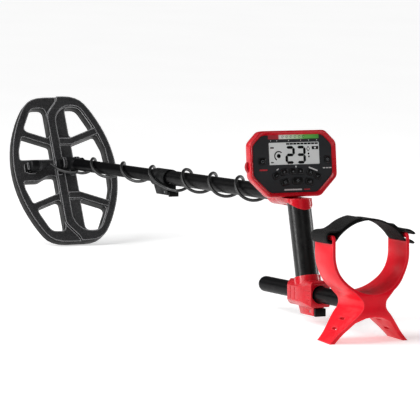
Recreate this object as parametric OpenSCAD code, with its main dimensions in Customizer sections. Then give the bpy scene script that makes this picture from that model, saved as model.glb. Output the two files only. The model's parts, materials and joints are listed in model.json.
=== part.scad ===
// Metal detector: search coil, telescopic shaft, control pod, handle, rear tube and armrest.
// It stands as it is put down: on the two feet of the armrest and on the heel of the coil.
// +X points forward to the coil, +Y to the left, +Z up. The origin is on the ground, under
// the middle of the whole object.

/* [Stance] */
// Slope of the shaft down towards the coil, degrees
shaft_slope = 2.8; // [2:0.1:4]
// Pitch of the coil up from the ground, degrees
coil_pitch = 62; // [58:1:66]
// Lean of the control face forward from square to the shaft, degrees
face_lean = 5.5; // [0:0.5:10]
// Lean of the handle back from square to the shaft, degrees
handle_lean = 14.5; // [12:0.5:17]

/* [Shaft] */
// Outside diameter of the upper and rear tubes
tube_d = 22; // [22:0.1:22.4]
// Outside diameter of the lower tube
lower_d = 19.2; // [18.8:0.1:19.2]
// Wall of every tube
tube_wall = 1.1; // [0.9:0.1:1.1]
// Distance from the coil hinge to the front of the shaft lock
lock_front = 345; // [340:1:350]
// Distance from the coil hinge to the middle of the control face
face_back = 808; // [800:1:812]
// Height of the middle of the control face over the shaft axis
face_up = 44; // [43:0.5:46]
// Drop from the shaft axis to the rear tube axis
rear_drop = 131; // [129:1:133]
// Distance from the coil hinge to the middle of the armrest
arm_back = 1008; // [1000:1:1016]

/* [Coil] */
// Length of the coil
coil_len = 254; // [250:1:258]
// Height of the hinge over the raised top of the coil
hinge_up = 19; // [19:0.5:21]
// Thickness of the coil, with its cover
coil_thick = 20.5; // [20:0.5:22]
// Thickness of the cover under the coil
cover_thick = 3; // [2:0.5:3]
// Height of the raised receive ring over the transmit ring
ring_step = 4; // [3:0.5:4]

/* [Cable] */
// Diameter of the coil cable
cable_d = 4.6; // [4:0.1:4.8]
// Radius of the cable's turns on the lower tube
turn_r_low = 13; // [13:0.1:13.6]
// Radius of the cable's turns over the lock
turn_r_lock = 18; // [17.9:0.1:18.5]
// Radius of the cable's turns on the upper tube
turn_r_high = 15.6; // [15.2:0.1:16]

/* [Hidden] */
$fn = 48;

tube_r = tube_d / 2;
lower_r = lower_d / 2;
bore_r = tube_r - tube_wall;
gap = 0.1;
cut = 1;

half_len = coil_len / 2;
half_wide = 91;
coil_top = -hinge_up;
base_top = coil_top - ring_step;
coil_bottom = -hinge_up - coil_thick;
cover_top = coil_bottom + cover_thick;
ear_r = 11;
ear_in = 9;
ear_out = 15;
bolt_r = 4;
boot_x = 2;
gland_r = 9.5;
boot_lean = 9.5;
boot_z = -11;

hub_half = 36.5;
hub_bottom = 15;
foot_spread = 60;
cuff_r = 57;
cuff_up = 68;
cuff_wall = 4;
arm_top = 94;

hinge_z = -coil_bottom * cos(coil_pitch) + half_len * sin(coil_pitch);
toe_x = half_len * cos(coil_pitch) - coil_bottom * sin(coil_pitch);
rear_x = -(arm_back + hub_half) * cos(shaft_slope) - (rear_drop + hub_bottom) * sin(shaft_slope);
hinge_x = -(toe_x + rear_x) / 2;

// ---- Places ------------------------------------------------------------------------------

// Hinge frame of the coil: x to the toe, z out of its top
module on_coil() {
    translate([hinge_x, 0, hinge_z]) rotate([0, -coil_pitch, 0]) children();
}

// Shaft frame: the hinge is its origin and x runs forward along the shaft
module on_shaft(back = 0, up = 0) {
    translate([hinge_x, 0, hinge_z])
        rotate([0, shaft_slope, 0])
            translate([-back, 0, up])
                children();
}

// Face frame of the control pod: x to the right, y up, z out of the face towards the user
module on_face() {
    on_shaft(face_back, face_up)
        rotate([0, face_lean, 0])
            rotate([90, 0, -90])
                children();
}

// Frame along the handle: z runs down the handle from the shaft axis
module on_handle() {
    on_shaft(820.5)
        rotate([0, 180 + handle_lean, 0])
            children();
}

// A tube or ring along the shaft, from one distance back to another
module along(back_a, back_b, r, bore = 0, up = 0) {
    on_shaft(back_b, up)
        rotate([0, 90, 0])
            difference() {
                cylinder(h = back_b - back_a, r = r);
                if (bore > 0)
                    translate([0, 0, -cut]) cylinder(h = back_b - back_a + 2 * cut, r = bore);
            }
}

// A box along the shaft, from one distance back to another
module block(back_a, back_b, wide, low, high) {
    on_shaft(back_b)
        translate([0, -wide / 2, low])
            cube([back_b - back_a, wide, high - low]);
}

// ---- Outlines ----------------------------------------------------------------------------

// Points of a polygon whose corners are rounded by a curve that starts reach away from them
function soft(points, reach, steps = 4) = [
    for (i = [0:len(points) - 1])
        let (p = points[i],
            before = points[(i + len(points) - 1) % len(points)] - p,
            after = points[(i + 1) % len(points)] - p,
            a = p + before / norm(before) * min(reach, norm(before) * 0.48),
            b = p + after / norm(after) * min(reach, norm(after) * 0.48))
        for (k = [0:steps])
            let (t = k / steps)
            (1 - t) * (1 - t) * a + 2 * t * (1 - t) * p + t * t * b
];

// A list of points followed by its mirror image in x, so that the outline closes
function both_ends(points) = concat(points,
    [for (i = [len(points) - 1:-1:0]) if (points[i][0] != 0) [-points[i][0], points[i][1]]]);

// The same closed outline moved outwards by d, or inwards where d is negative
function moved(points, d) = [
    for (i = [0:len(points) - 1])
        let (before = unit(points[i] - points[(i + len(points) - 1) % len(points)]),
            after = unit(points[(i + 1) % len(points)] - points[i]),
            a = [before[1], -before[0]],
            b = [after[1], -after[0]])
        points[i] + d * (a + b) / (1 + a * b)
];

// A list of points followed by its mirror image in y
function both_sides(points) = concat(points,
    [for (i = [len(points) - 1:-1:0]) [points[i][0], -points[i][1]]]);

// Outline of the whole coil: straight toe and heel, bowed flanks
coil_quarter = [[0, half_wide], [50, 84], [96, 64.5], [half_len, 42]];
coil_half = both_sides(coil_quarter);
coil_outline = soft(concat(coil_half,
    [for (i = [len(coil_half) - 2:-1:1]) [-coil_half[i][0], coil_half[i][1]]]), 26);

// Windows on one side of the coil, for side = 1 on the left and -1 on the right
window_toe = [[108, 17], [108, 42], [69, 62], [53, 17]];
window_mid = [[42, 18], [59, 66], [34, 75], [0, 77]];

// Raised receive ring: a D whose straight rail runs down the middle of the coil
ring_outer = both_ends([[0, 17], [96, 17], [122, -6], [160, -6], [160, -100], [0, -100]]);
ring_inner = both_ends([[0, 3], [92, 3], [110, -14], [110, -42], [71, -63], [34, -75], [0, -77]]);

// Right spoke: it climbs from the ring over to the rail
chevron = [[41.8, 4], [41.8, -18], [59, -66.4], [60, -72], [70, -68], [69.4, -61.6], [53.2, -17],
    [53.2, 4]];

// Middle line of each winding, halfway along its housing ring
transmit_path = both_ends([[0, -7], [104, -7], [118, 4], [118, 34], [111.5, 46],
    [92.5, 58.4], [72, 67.9], [48, 77.5], [0, 84]]);
receive_path = both_ends([[0, -84], [48, -77.5], [72, -67.9], [92.5, -58.4], [111.5, -46],
    [118, -34], [118, -16], [94, 10], [0, 10]]);

// Control pod outline, drawn in by inset
function pod_outline(inset) = soft(concat(pod_side(inset), pod_other(pod_side(inset))), 5);
function pod_side(inset) = [[40 - inset * 0.6, -46 + inset], [67 - inset, -19 + inset * 0.5],
    [67 - inset, 29 - inset * 0.5], [50 - inset * 0.6, 46 - inset]];
function pod_other(side) = [for (i = [len(side) - 1:-1:0]) [-side[i][0], side[i][1]]];

// ---- Cable -------------------------------------------------------------------------------

cable_r = cable_d / 2;
cable_sides = 8;
slack_end = 44;
lower_end = 348;
upper_end = 700;
end_gap = 0.8;

// Turns made round the shaft at a distance back from the hinge, with the cable on top at whole
// turns: one turn lies along the side of the lock, and the next starts behind its sleeve
function turns(back) = lookup(back, [[38, 0.38], [96, 1], [217, 2], [330, 3], [352, 3.2],
    [380, 3.33], [404, 3.4], [422, 3.5], [451, 4], [545, 5], [635, 6], [725, 7]]);
function turn_r(back) = lookup(back, [[322, turn_r_low], [334, turn_r_low + 1],
    [352, turn_r_lock - 1.7], [404, turn_r_lock], [422, turn_r_lock], [450, turn_r_high]]);
function on_turn(back) = [-back, turn_r(back) * sin(360 * turns(back)),
    turn_r(back) * cos(360 * turns(back))];
function wound(back_a, back_b, steps) =
    [for (i = [0:steps]) on_turn(back_a + (back_b - back_a) * i / steps)];

// From the boot on the coil, past the hinge, to the first turn
slack_route = [[11.9, 32.4, -0.5], [11.6, 30.2, -0.5], [8, 28, -2.6], [0, 25.4, -5.6],
    [-6, 23.8, -8], [-13, 19.6, -10.2], [-24, 14, -12.2], [-34, 9.2, -12.8],
    on_turn(slack_end - end_gap)];
lower_route = wound(slack_end, lower_end - end_gap, 36);
upper_route = concat(wound(lower_end, upper_end, 48),
    [[-708, -17, 6], [-718, -21, 12], [-728, -26, 17], [-737, -29.6, 20.6], [-743.4, -30, 21]]);

// Section of the cable square to its route at one point
function unit(v) = v / norm(v);
function aim(route, i) = unit(route[min(i + 1, len(route) - 1)] - route[max(i - 1, 0)]);
function ring_at(route, i) =
    let (along = aim(route, i),
        side = unit(cross(along, abs(along[2]) < 0.8 ? [0, 0, 1] : [0, 1, 0])),
        top = cross(side, along))
    [for (k = [0:cable_sides - 1])
        let (a = 360 * k / cable_sides)
        route[i] + cable_r * (side * cos(a) + top * sin(a))];

// A tube swept along a route, closed at both ends
module sweep(route) {
    last = (len(route) - 1) * cable_sides;
    polyhedron(
        points = [for (i = [0:len(route) - 1]) each ring_at(route, i)],
        faces = concat(
            [[for (k = [0:cable_sides - 1]) k]],
            [[for (k = [cable_sides - 1:-1:0]) last + k]],
            [for (i = [0:len(route) - 2], k = [0:cable_sides - 1])
                let (m = (k + 1) % cable_sides, a = i * cable_sides, b = a + cable_sides)
                each [[a + k, b + k, b + m], [a + k, b + m, a + m]]]),
        convexity = 10);
}

module cable_slack() {
    color("#1b1b1c") on_shaft() sweep(slack_route);
}

module cable_lower() {
    color("#1b1b1c") on_shaft() sweep(lower_route);
}

module cable_upper() {
    color("#1b1b1c") on_shaft() sweep(upper_route);
}

module cable_plug() {
    color("#1b1b1c")
        on_shaft(757.3, 21)
            translate([0, -30, 0])
                rotate([0, 90, 0]) {
                    cylinder(h = 9, r = 7);
                    translate([0, 0, 9]) cylinder(h = 4.3, r1 = 5, r2 = 3.4);
                }
}

// ---- Coil --------------------------------------------------------------------------------

// Everything cut through the coil: three windows on each side, parted by the cable box on the left
module windows() {
    polygon(soft(window_toe, 9));
    polygon(soft([for (p = window_toe) [-p[0], p[1]]], 9));
    polygon(soft([for (p = window_toe) [p[0], -p[1]]], 9));
    polygon(soft([for (p = window_toe) [-p[0], -p[1]]], 9));
    polygon(soft(both_ends([for (p = window_mid) [p[0], -p[1]]]), 5));
    polygon(soft([[17, 18], [42, 18], [59, 66], [34, 75], [17, 76.5]], 4));
    polygon(soft([[-12, 18], [-12, 33], [-20, 48], [-20, 76], [-34, 75], [-59, 66], [-42, 18]], 4));
}

// A band of one width that follows a closed path
module winding_loop(path, wide) {
    difference() {
        polygon(soft(moved(path, wide / 2), 12));
        polygon(soft(moved(path, -wide / 2), 12));
    }
}

module coil_housing() {
    color("#3a3b3d")
        on_coil()
            difference() {
                union() {
                    translate([0, 0, cover_top])
                        linear_extrude(base_top - cover_top)
                            difference() {
                                polygon(coil_outline);
                                windows();
                            }
                    // raised D ring and the ribs that carry the right spokes over to its rail
                    translate([0, 0, base_top - cut])
                        linear_extrude(ring_step + cut)
                            intersection() {
                                difference() {
                                    polygon(coil_outline);
                                    windows();
                                }
                                difference() {
                                    polygon(soft(ring_outer, 8));
                                    polygon(soft(ring_inner, 12));
                                }
                            }
                    for (end = [-1, 1])
                        translate([0, 0, base_top - cut])
                            linear_extrude(ring_step + cut - 0.5)
                                polygon([for (p = chevron) [end * p[0], p[1]]]);
                    // cable box on the left ring, with a raised block for the gland
                    translate([boot_x - 8, 53, base_top - cut])
                        cube([16, 13, boot_z - 4 - base_top + cut]);
                    translate([boot_x - 6, 65.9, base_top - cut])
                        cube([12, 4.1, boot_z - 1 - base_top + cut]);
                    // two ears round the hinge bolt
                    for (side = [-1, 1])
                        translate([0, side * (ear_in + ear_out) / 2, 0])
                            rotate([90, 0, 0]) {
                                cylinder(h = ear_out - ear_in, r = ear_r, center = true);
                                translate([0, base_top / 2 - cut, 0])
                                    cube([2 * ear_r, -base_top, ear_out - ear_in], center = true);
                            }
                }
                // grooves of the two windings, open to the cover
                translate([0, 0, cover_top - cut])
                    linear_extrude(cut + 5.5) winding_loop(transmit_path, 8);
                translate([0, 0, cover_top - cut])
                    linear_extrude(cut + 11.3) winding_loop(receive_path, 8);
                rotate([90, 0, 0]) cylinder(h = 40, r = bolt_r + gap, center = true);
                translate([boot_x, 50, boot_z])
                    rotate([-90, 0, 0])
                        cylinder(h = 16.1, r = gland_r + gap);
            }
}

module coil_cover() {
    color("#303133")
        on_coil()
            translate([0, 0, coil_bottom])
                linear_extrude(cover_thick)
                    difference() {
                        polygon(coil_outline);
                        windows();
                    }
}

module transmit_winding() {
    color("#a85c32")
        on_coil()
            translate([0, 0, cover_top + 0.1])
                linear_extrude(5.1)
                    winding_loop(transmit_path, 7.4);
}

module receive_winding() {
    color("#a85c32")
        on_coil()
            translate([0, 0, cover_top + 5.9])
                linear_extrude(5.1)
                    winding_loop(receive_path, 7.4);
}

module cable_gland() {
    color("#222324")
        on_coil()
            translate([boot_x, 66, boot_z])
                rotate([90, 0, 0])
                    difference() {
                        union() {
                            translate([0, 0, 2]) cylinder(h = 12, r = gland_r);
                            cylinder(h = 2.01, r1 = gland_r - 2, r2 = gland_r);
                        }
                        translate([0, 0, 6]) cylinder(h = 10, r = 3);
                    }
}

module cable_boot() {
    color("#1f2021")
        on_coil()
            translate([boot_x, 51.9, boot_z])
                rotate([90, 0, 0]) {
                    cylinder(h = 4, r = 8.6);
                    translate([0, 0, 2.6])
                        rotate([0, boot_lean, 0]) cylinder(h = 16.5, r1 = 8, r2 = 3.3);
                }
}

module hinge_bolt() {
    color("#262728")
        on_coil()
            rotate([90, 0, 0]) {
                translate([0, 0, -21]) cylinder(h = 6, r = 7);
                translate([0, 0, -16]) cylinder(h = 37, r = bolt_r);
            }
}

module hinge_nut() {
    color("#262728")
        on_coil()
            rotate([90, 0, 0])
                translate([0, 0, ear_out])
                    difference() {
                        cylinder(h = 8, r = 9);
                        translate([0, 0, -cut]) cylinder(h = 7, r = bolt_r);
                        for (a = [0:45:315])
                            rotate(a) translate([10.2, 0, -cut]) cylinder(h = 10, r = 2);
                    }
}

module hinge_washers() {
    color("#151516")
        on_coil()
            for (side = [-1, 1])
                translate([0, side * (ear_in - 0.6), 0])
                    rotate([90, 0, 0])
                        difference() {
                            cylinder(h = 1.2, r = 9, center = true);
                            cylinder(h = 4, r = bolt_r + gap, center = true);
                        }
}

// ---- Lower shaft -------------------------------------------------------------------------

tongue_half = ear_in - 1.2 - 0.1;

module shaft_yoke() {
    color("#2a2b2c")
        difference() {
            union() {
                on_shaft()
                    rotate([90, 0, 0])
                        cylinder(h = 2 * tongue_half, r = 10, center = true);
                block(0, 30, 2 * tongue_half, -9, 9);
                along(24, 34, lower_r);
                along(33, 60, lower_r - tube_wall);
            }
            on_shaft()
                rotate([90, 0, 0])
                    cylinder(h = 40, r = bolt_r + gap, center = true);
        }
}

module lower_tube() {
    color("#1d1e1f") along(34, 520, lower_r, lower_r - tube_wall);
}

module lower_tube_bush() {
    color("#3c3d3f") {
        along(520, 530, bore_r - 0.15);
        along(505, 521, lower_r - tube_wall);
    }
}

// ---- Shaft lock --------------------------------------------------------------------------

lock_sink = 1.5;
lock_r = 14;
sleeve_end = 398;
tube_front = 379;

module lock_collar() {
    color("#202122")
        difference() {
            union() {
                along(lock_front + 4, lock_front + 26, lock_r, 0, -lock_sink);
                on_shaft(lock_front + 4, -lock_sink)
                    rotate([0, 90, 0])
                        cylinder(h = 4, r1 = lock_r, r2 = lock_r - 2);
            }
            along(lock_front - 2, lock_front + 28, tube_r);
            block(lock_front - 2, lock_front + 28, 30, -30, -12.5);
        }
}

module lock_body() {
    color("#202122")
        difference() {
            union() {
                along(lock_front + 26, sleeve_end, lock_r, 0, -lock_sink);
                on_shaft(0, -12.5)
                    rotate([90, 0, 0])
                        linear_extrude(14, center = true)
                            polygon([[-lock_front - 4, 0], [-lock_front - 14, -13.5],
                                [-400, -13.5], [-400, 0]]);
            }
            along(lock_front - 2, sleeve_end + 3, tube_r);
            block(382, 402, 11, -27, -19);
            on_shaft(388, -22)
                rotate([90, 0, 0])
                    cylinder(h = 30, r = 1.6, center = true);
        }
}

// Split sleeve that the lever squeezes on the lower tube
module lock_liner() {
    color("#4a4b4d")
        difference() {
            along(lock_front, tube_front - 1, tube_r - 0.05, lower_r + 0.08);
            block(lock_front - 1, tube_front - 8, 3, 5, 15);
        }
}

// Cam lever: a round cam on the pin and a flat tail that lies under the lock
module cam_lever(back, low, tail, wide = 14, high = 0) {
    difference() {
        union() {
            on_shaft(back, low)
                rotate([90, 0, 0])
                    cylinder(h = 10.4, r = 3, center = true);
            on_shaft(back + tail, low)
                translate([0, -5.2, -4.5])
                    cube([tail, 10.4, 4]);
            on_shaft(back + tail, low)
                translate([-2, -wide / 2, -6])
                    cube([4, wide, 6 + high]);
        }
        on_shaft(back, low)
            rotate([90, 0, 0])
                cylinder(h = 30, r = 1.6, center = true);
    }
}

module lock_lever() {
    color("#161617") cam_lever(388, -22, 18.5, 15, 1);
}

module lock_pin() {
    color("#9a9ca0")
        on_shaft(388, -22)
            rotate([90, 0, 0])
                cylinder(h = 14, r = 1.5, center = true);
}

module upper_tube() {
    color("#1d1e1f") along(tube_front, 786, tube_r, bore_r);
}

// ---- Neck and handle ---------------------------------------------------------------------

neck_r = 15.5;
core_r = 12.5;
core_bore = 10;
grip_r = 16.2;
grip_len = 104;
grip_top = 9;
clamp_pin_drop = 24;
rear_front = 722;

module neck() {
    color("#c81f2d")
        difference() {
            union() {
                along(752, 790, neck_r);
                intersection() {
                    hull() {
                        along(768, 788, neck_r - 0.8);
                        on_handle() translate([0, 0, -2]) cylinder(h = 11, r = 17);
                    }
                    block(740, 850, 60, -40, -3.4);
                }
                on_handle() cylinder(h = 40, r = core_bore - gap);
                // tongue over the back of the grip
                intersection() {
                    on_handle()
                        difference() {
                            translate([0, 0, -4]) cylinder(h = 30, r = grip_r + 2.2);
                            translate([0, 0, 8.9]) cylinder(h = 30, r = grip_r + 0.2);
                        }
                    on_shaft(860, 0)
                        rotate([0, 90, 0])
                            linear_extrude(36)
                                polygon(soft([[-2, -19], [7, -19], [15, -13], [18.5, 0], [15, 13],
                                    [7, 19], [-2, 19]], 6));
                }
            }
            along(740, 786, tube_r);
            on_handle() translate([0, 0, -30]) cylinder(h = 33, r = 8);
            block(790, 850, 60, -3.4, 40);
        }
}

module handle_core() {
    color("#2b2c2d")
        on_handle()
            translate([0, 0, grip_top])
                difference() {
                    cylinder(h = grip_len, r = core_r);
                    translate([0, 0, -cut]) cylinder(h = grip_len + 2 * cut, r = core_bore);
                }
}

module handle_grip() {
    color("#1a1b1c")
        on_handle()
            translate([0, 0, grip_top])
                difference() {
                    cylinder(h = grip_len, r = grip_r);
                    translate([0, 0, -cut]) cylinder(h = grip_len + 2 * cut, r = core_r);
                }
}

// ---- Rear clamp --------------------------------------------------------------------------

clamp_front = 822;
clamp_back = 888;
clamp_r = 17;

// Rear view and plan of the clamp body, about the rear tube
clamp_end = [[-13, -17.5], [13, -17.5], [19.5, -10.5], [19.5, 9.5], [12, 17.5], [-12, 17.5],
    [-19.5, 9.5], [-19.5, -10.5]];
clamp_plan = both_sides([[-clamp_front, 16], [-clamp_front - 4, 19.5], [-867, 19.5],
    [-clamp_back, 14.5]]);

module rear_clamp() {
    color("#c81f2d")
        difference() {
            union() {
                on_shaft(0, -rear_drop)
                    intersection() {
                        translate([-clamp_back, 0, 0])
                            rotate([90, 0, 90])
                                linear_extrude(clamp_back - clamp_front) polygon(clamp_end);
                        translate([0, 0, -40]) linear_extrude(80) polygon(clamp_plan);
                    }
                on_handle() translate([0, 0, grip_top + grip_len]) cylinder(h = 20, r = clamp_r + 1.4);
                on_handle() translate([0, 0, 92]) cylinder(h = 30, r = core_bore - gap);
                on_shaft(0, -rear_drop - 12)
                    rotate([90, 0, 0])
                        linear_extrude(16, center = true)
                            polygon([[-834, 0], [-844, -17.5], [-883, -17.5], [-883, 0]]);
            }
            along(clamp_front - 2, clamp_back + 2, 12.5, 0, -rear_drop);
            block(866, 890, 11, -rear_drop - 35, -rear_drop - 20);
            for (side = [-1, 1]) {
                // upright grooves on the flanks and level ones on the rear corners
                for (back = [836, 849])
                    on_shaft(back, -rear_drop)
                        translate([0, side * 20, 0]) cube([2, 2.6, 17], center = true);
                for (up = [-7, -1, 5])
                    on_shaft(877.5, -rear_drop + up)
                        translate([0, side * 17.6, 0])
                            rotate([0, 0, side * 20.5]) cube([17, 2, 1.4], center = true);
            }
            on_shaft(872, -rear_drop - clamp_pin_drop)
                rotate([90, 0, 0])
                    cylinder(h = 30, r = 1.6, center = true);
        }
}

module clamp_liner() {
    color("#4a4b4d")
        difference() {
            along(clamp_front + 1, clamp_back - 1, 12.45, tube_r + 0.08, -rear_drop);
            block(clamp_front, 880, 3, -rear_drop - 15, -rear_drop - 5);
        }
}

module clamp_lever() {
    color("#161617") cam_lever(872, -rear_drop - clamp_pin_drop, 14.8, 16, 5);
}

module clamp_pin() {
    color("#9a9ca0")
        on_shaft(872, -rear_drop - clamp_pin_drop)
            rotate([90, 0, 0])
                cylinder(h = 16, r = 1.5, center = true);
}

// ---- Control pod -------------------------------------------------------------------------

bezel_deep = 14;
shell_deep = 34;
face_sink = 4;
panel_thick = 2;
lcd_w = 78;
lcd_h = 31;
lcd_x = 3;
lcd_y = 14.2;
jack_y = -3;
tray_y = 4;
jack_z = -10.2;
screw_places = [[-55, 24], [55, 24], [-49.5, -24], [49.5, -24]];

// Rounded rectangle about the origin
module pad(w, h, r) {
    polygon(soft([[-w / 2, -h / 2], [w / 2, -h / 2], [w / 2, h / 2], [-w / 2, h / 2]], r));
}

// Room for the neck and shaft under the pod
module neck_room() {
    along(700, 790.2, neck_r + gap);
}

// Front ring of the pod, stepped to hold the face panel
module bezel_frame() {
    difference() {
        union() {
            translate([0, 0, -bezel_deep])
                linear_extrude(bezel_deep - 3) polygon(pod_outline(0));
            translate([0, 0, -3.01])
                linear_extrude(3.01) polygon(pod_outline(1.5));
        }
        translate([0, 0, -face_sink - panel_thick])
            linear_extrude(face_sink + panel_thick + cut) polygon(pod_outline(6));
        translate([0, 0, -bezel_deep - cut])
            linear_extrude(bezel_deep) polygon(pod_outline(8.5));
    }
}

module pod_bezel() {
    color("#c81f2d")
        difference() {
            on_face()
                difference() {
                    union() {
                        bezel_frame();
                        for (p = screw_places)
                            translate([p[0], p[1], -bezel_deep]) cylinder(h = 6.5, r = 3.4);
                    }
                    for (p = screw_places)
                        translate([p[0], p[1], -bezel_deep - cut]) cylinder(h = 7, r = 1.4);
                    // pocket of the jack cover in the left flank
                    translate([-69, jack_y - 9.5, jack_z - 3.3]) cube([6, 19, 6.6]);
                    translate([-70, jack_y, jack_z]) rotate([0, 90, 0]) cylinder(h = 20, r = 3.2);
                }
            neck_room();
        }
}

// Hollow back of the pod, narrower at its rear
module shell_skin() {
    difference() {
        translate([0, 0, -bezel_deep])
            mirror([0, 0, 1])
                linear_extrude(shell_deep, scale = 0.76) polygon(pod_outline(1));
        translate([0, 0, -bezel_deep + cut])
            mirror([0, 0, 1])
                linear_extrude(shell_deep - 3 + cut, scale = 0.78) polygon(pod_outline(3.5));
    }
}

module pod_shell() {
    color("#b81b28")
        difference() {
            on_face()
                difference() {
                    union() {
                        shell_skin();
                        for (p = screw_places)
                            translate([p[0] + sign(p[0]) * 2, p[1], -bezel_deep - 0.7])
                                cube([10.8, 6.8, 1.4], center = true);
                    }
                    for (p = screw_places)
                        translate([p[0], p[1], -bezel_deep - 3]) cylinder(h = 4, r = 1.4);
                    // battery opening, and the step that the door slides in
                    translate([0, 5, -bezel_deep - shell_deep - cut])
                        linear_extrude(10) pad(62, 50, 3);
                    translate([0, 6, -bezel_deep - shell_deep - cut])
                        linear_extrude(cut + 1.4) pad(70, 60, 3);
                }
            neck_room();
            on_shaft(770, 21)
                translate([0, -30, 0])
                    rotate([0, 90, 0])
                        cylinder(h = 30, r = 4.2);
        }
}

module face_panel() {
    color("#2f3032")
        on_face()
            translate([0, 0, -face_sink - panel_thick])
                linear_extrude(panel_thick)
                    difference() {
                        polygon(pod_outline(6.1));
                        translate([lcd_x, lcd_y]) pad(lcd_w, lcd_h, 1.5);
                        for (k = keys)
                            translate([k[0], k[1]])
                                rotate(k[4])
                                    pad(k[2] + 0.8, k[3] + 0.8, 2.6);
                    }
}

module lcd_window() {
    color("#dfe3e4")
        on_face()
            translate([lcd_x, lcd_y, -face_sink - panel_thick])
                linear_extrude(panel_thick - 0.4)
                    pad(lcd_w - 0.2, lcd_h - 0.2, 1.5);
}

module lcd_module() {
    color("#b9bdbd")
        on_face()
            translate([lcd_x - 42, lcd_y - 18, -12])
                cube([84, 36, 5.9]);
}

module main_board() {
    color("#1f5b3a")
        on_face()
            translate([0, 2, -bezel_deep - 0.6])
                linear_extrude(1.6)
                    pad(84, 60, 8);
}

module speaker() {
    color("#28292a")
        on_face()
            translate([-45.5, 8, -28]) {
                cylinder(h = 4, r = 7);
                translate([0, 0, 4]) cylinder(h = 6, r1 = 7, r2 = 10.6);
            }
}

module battery_tray() {
    color("#232425")
        on_face()
            translate([0, tray_y, -44])
                difference() {
                    translate([-31, -27, 0]) cube([62, 54, 17]);
                    translate([-29.8, -25.8, -cut]) cube([59.6, 51.6, 16]);
                }
}

module battery_cells() {
    color("#c9a23a")
        on_face()
            for (i = [0:3])
                translate([-22.2 + i * 14.8, tray_y - 25.2, -44 + 7.3])
                    rotate([-90, 0, 0]) {
                        cylinder(h = 49, r = 7.1);
                        translate([0, 0, 49]) cylinder(h = 1.4, r = 2.7);
                    }
}

module battery_door() {
    color("#b81b28")
        on_face()
            translate([0, 6, -bezel_deep - shell_deep]) {
                linear_extrude(1.3) pad(69.4, 59.4, 3);
                for (i = [-2:2])
                    translate([-12, 14 + i * 3, -0.8]) cube([24, 1.2, 1]);
            }
}

module headphone_jack() {
    color("#2a2b2c")
        on_face()
            translate([-62.8, jack_y, jack_z])
                rotate([0, 90, 0])
                    difference() {
                        cylinder(h = 5.6, r = 3.1);
                        translate([0, 0, -cut]) cylinder(h = 5.6, r = 1.75);
                    }
}

module jack_cover() {
    color("#d2222f")
        on_face()
            translate([0, jack_y, jack_z]) {
                translate([0, 0, -3])
                    linear_extrude(6)
                        intersection() {
                            translate([-59.4, 0]) circle(10.6);
                            translate([-71, -9]) square([6, 18]);
                        }
                rotate([0, -90, 0]) translate([0, 0, 63.2]) cylinder(h = 4, r = 2.6);
            }
}

module pod_screws() {
    color("#8e9093")
        on_face()
            for (p = screw_places)
                translate([p[0], p[1], -bezel_deep - 1.45]) {
                    cylinder(h = 7.2, r = 1.3);
                    translate([0, 0, -2]) cylinder(h = 2.01, r = 2.8);
                }
}

// ---- Keys --------------------------------------------------------------------------------

// Place, width, height and turn of each key on the face
keys = [
    [-47, 4, 10, 9, 0], [53.8, 4.5, 8.6, 9.5, 0],
    [-26, -16, 10.5, 8, 28], [-14, -11.3, 10.5, 8, 18],
    [-0.6, -10.8, 10, 8, 0], [11, -10.8, 10, 8, 0],
    [26.8, -12.6, 10.5, 8, -18], [37.6, -18, 10, 8, -28],
    [-13, -25.4, 12, 8.5, 14], [6.5, -23.8, 17, 8.5, 0], [25, -25.4, 12, 8.5, -14]
];

module key(i) {
    color("#1c1d1e")
        on_face()
            translate([keys[i][0], keys[i][1], -face_sink - panel_thick])
                rotate(keys[i][4]) {
                    linear_extrude(panel_thick + 1) pad(keys[i][2], keys[i][3], 2.4);
                    translate([0, 0, panel_thick + 0.99])
                        linear_extrude(0.5) pad(keys[i][2] - 1.2, keys[i][3] - 1.2, 2);
                }
}

module key_mat() {
    color("#55575a")
        on_face()
            difference() {
                translate([0, 0, -8.3])
                    linear_extrude(1.2) {
                        translate([5, -17.5]) pad(78, 25, 6);
                        translate([2, -13]) pad(102, 12, 4);
                        translate([-47, -3]) pad(13, 26, 3);
                        translate([52, -2]) pad(8, 24, 3);
                    }
                translate([lcd_x - 42.3, lcd_y - 18.3, -12]) cube([84.6, 60, 12]);
            }
}

// ---- Rear tube and armrest ---------------------------------------------------------------

module rear_tube() {
    color("#1d1e1f")
        difference() {
            along(rear_front, arm_back + 30, tube_r, bore_r, -rear_drop);
            on_shaft(arm_back - 12, -rear_drop)
                translate([0, 0, -15]) cylinder(h = 8, r = 1.9);
        }
}

module rear_tube_cap() {
    color("#242526")
        on_shaft(rear_front, -rear_drop)
            rotate([0, 90, 0]) {
                rotate_extrude()
                    intersection() {
                        circle(r = tube_r);
                        square([tube_r, tube_r]);
                    }
                translate([0, 0, -14]) cylinder(h = 14.01, r = bore_r);
            }
}

// Cross-section of the armrest, seen from behind: cuff, hub and two legs
function cuff_arc(r, a, b) = [for (k = [0:24])
    let (t = a + (b - a) * k / 24) [r * cos(t), cuff_up + r * sin(t)]];
function leg(side) = [for (p = soft_edge([cuff_arc(cuff_r, -58, -58)[0], [16.5, 6],
    [16.5, -4], [foot_spread, -52]])) [side * p[0], p[1]]];
function reversed(p) = [for (k = [len(p) - 1:-1:0]) p[k]];

module arm_section() {
    polygon(concat([[cuff_r, arm_top]], cuff_arc(cuff_r, 0, -58), leg(1),
        [[53, -52], [26, -22.5], [12, -16.5], [0, -hub_bottom]],
        [[-12, -16.5], [-26, -22.5], [-53, -52]],
        reversed(leg(-1)), cuff_arc(cuff_r, -122, -180), [[-cuff_r, arm_top]],
        [[cuff_wall - cuff_r, arm_top]], cuff_arc(cuff_r - cuff_wall, -180, -90),
        cuff_arc(cuff_r - cuff_wall, -90, 0), [[cuff_r - cuff_wall, arm_top]]));
}

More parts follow.
